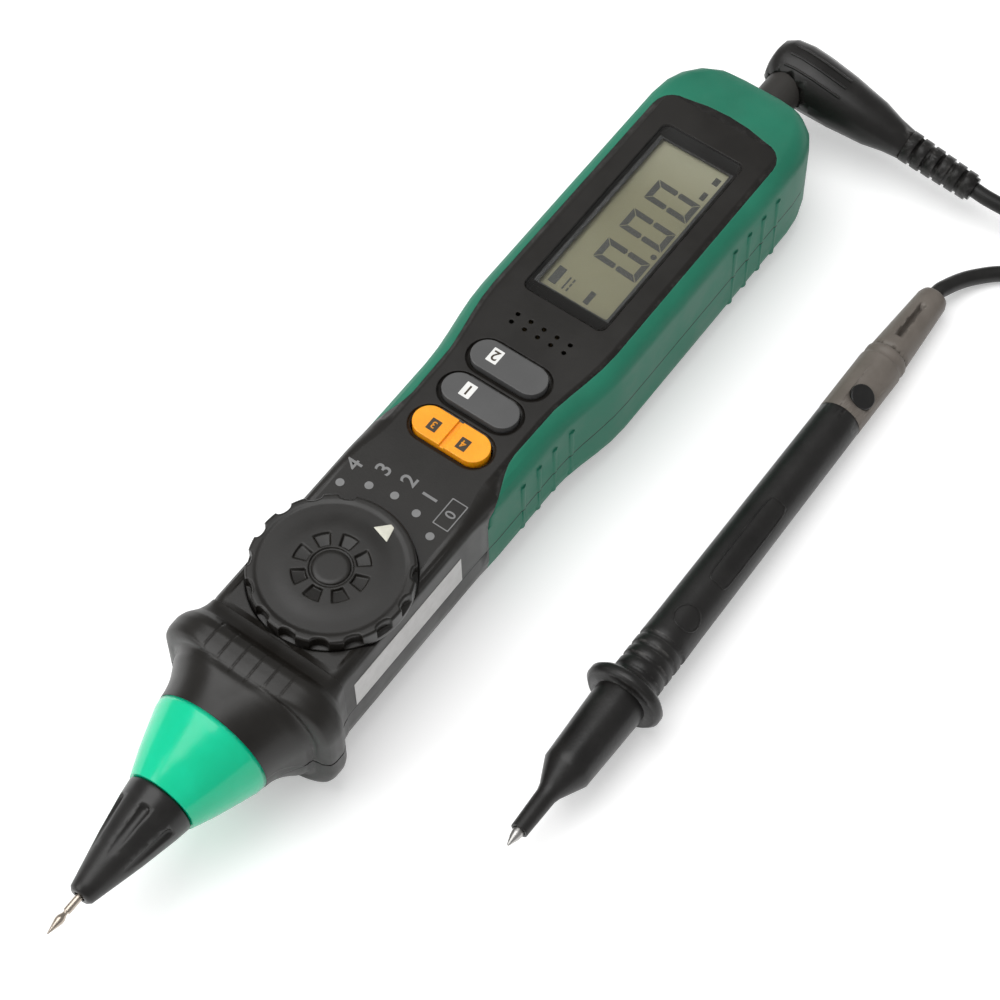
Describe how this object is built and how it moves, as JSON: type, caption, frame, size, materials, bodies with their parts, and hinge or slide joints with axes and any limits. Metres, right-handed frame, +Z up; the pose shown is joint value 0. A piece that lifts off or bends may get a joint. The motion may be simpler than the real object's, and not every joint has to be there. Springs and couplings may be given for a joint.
{
  "type": "pen multimeter",
  "caption": "Pen-shaped multimeter with a turning nose cone, selector dial, press buttons, display, battery bay and a plug-in test lead with its own probe",
  "frame": {"origin": "Bottom centre of the meter's own box, without the test lead: on the surface that the back lies on, midway from the pin's point to the rear end.", "axes": "+X runs from the probe pin to the rear jack, +Z up out of the front panel, +Y to the side away from the loose probe."},
  "size_m": [0.2688, 0.1227, 0.029],
  "materials": {
    "body_plastic": "fine matte texture, slight sheen",
    "grip_rubber": "soft satin overmould",
    "clear_window": "clear, glossy",
    "display_glass": "grey-green reflective display",
    "frame_plastic": "matte",
    "contact_rubber": "matte",
    "board": "lacquered",
    "chip": "matte",
    "small_parts": "mixed small parts",
    "switch_plastic": "smooth",
    "buzzer_brass": "smooth",
    "dial_plastic": "fine matte texture, slight sheen",
    "rotor_plastic": "smooth",
    "contact_brass": "smooth",
    "steel": "zinc plated",
    "grey_button": "satin",
    "yellow_button": "satin",
    "light_ring": "translucent, glossy",
    "lamp": "clear",
    "nose_plastic": "satin",
    "probe_metal": "nickel plated",
    "battery_sleeve": "printed sleeve",
    "fuse_glass": "clear",
    "fuse_metal": "nickel plated",
    "plug_metal": "plated",
    "lead_rubber": "soft satin",
    "collar_plastic": "satin",
    "badge": "smooth",
    "handle_plastic": "satin"
  },
  "bodies": {
    "meter_body": {"front_shell": "body_plastic", "front_grip": "grip_rubber", "rear_shell": "body_plastic", "rear_grip": "grip_rubber", "display_window": "clear_window", "display_cell": "display_glass", "display_frame": "frame_plastic", "contact_strips": "contact_rubber", "circuit_board": "board", "main_chip": "chip", "board_parts": "small_parts", "button_switches": "switch_plastic", "buzzer_disc": "buzzer_brass", "detent_spring": "steel", "light_ring": "light_ring", "ring_lamp": "lamp", "pin_guide": "rotor_plastic", "pin_contact": "contact_brass", "battery_a": "battery_sleeve", "battery_b": "battery_sleeve", "battery_contacts": "steel", "fuse_tube": "fuse_glass", "fuse_caps": "fuse_metal", "fuse_clips": "contact_brass", "jack_body": "frame_plastic", "jack_contact": "contact_brass", "shell_screws": "steel", "board_screws": "steel"},
    "dial": {"selector_dial": "dial_plastic", "contact_rotor": "rotor_plastic", "rotor_wipers": "contact_brass", "dial_screw": "steel"},
    "nose_cone": {"nose_cone": "nose_plastic"},
    "sliding_pin": {"probe_pin": "probe_metal", "pin_carrier": "rotor_plastic"},
    "func_key": {"func_button": "grey_button"},
    "max_key": {"max_button": "grey_button"},
    "rocker_key": {"range_rocker": "yellow_button"},
    "door": {"battery_door": "body_plastic", "door_screw": "steel"},
    "test_lead": {"plug_pin": "plug_metal", "plug_shroud": "lead_rubber", "plug_body": "lead_rubber", "plug_relief": "lead_rubber", "lead_plug_run": "lead_rubber", "lead_coil": "lead_rubber", "lead_probe_run": "lead_rubber", "probe_boot": "collar_plastic", "probe_collar": "collar_plastic", "probe_badge": "badge", "probe_handle": "handle_plastic", "probe_needle": "probe_metal"},
    "tip_cap": {"probe_cap": "handle_plastic"}
  },
  "joints": [
    {"name": "dial_turn", "type": "hinge", "parent": "meter_body", "child": "dial", "pos_m": [-0.029, 0, 0.0249], "axis": [0, 0, 1], "range_deg": [-15.75, 47.25]},
    {"name": "nose_turn", "type": "hinge", "parent": "meter_body", "child": "nose_cone", "pos_m": [-0.0754, 0, 0.0171], "axis": [1, 0, 0], "range_deg": [0, 180]},
    {"name": "pin_slide", "type": "slide", "parent": "meter_body", "child": "sliding_pin", "axis": [1, 0, 0], "range_m": [0, 0.01]},
    {"name": "func_press", "type": "slide", "parent": "meter_body", "child": "func_key", "axis": [0, 0, -1], "range_m": [0, 0.0008], "stiffness_N_per_m": 500, "springref_m": -0.0005},
    {"name": "max_press", "type": "slide", "parent": "meter_body", "child": "max_key", "axis": [0, 0, -1], "range_m": [0, 0.0008], "stiffness_N_per_m": 500, "springref_m": -0.0005},
    {"name": "rocker_tilt", "type": "hinge", "parent": "meter_body", "child": "rocker_key", "pos_m": [0.0048, 0, 0.0236], "axis": [1, 0, 0], "range_deg": [-3.5, 3.5], "stiffness_Nm_per_rad": 0.05},
    {"name": "door_lift", "type": "slide", "parent": "meter_body", "child": "door", "axis": [0, 0, -1], "range_m": [0, 0.01]},
    {"name": "plug_pull", "type": "slide", "parent": "meter_body", "child": "test_lead", "axis": [1, 0, 0], "range_m": [0, 0.022]},
    {"name": "cap_pull", "type": "slide", "parent": "test_lead", "child": "tip_cap", "axis": [-0.9993, -0.0134, 0.0358], "range_m": [0, 0.03]}
  ],
  "couplings": [
    {"joint": "nose_turn", "follows": "pin_slide", "rad_per_m": 314.16}
  ]
}
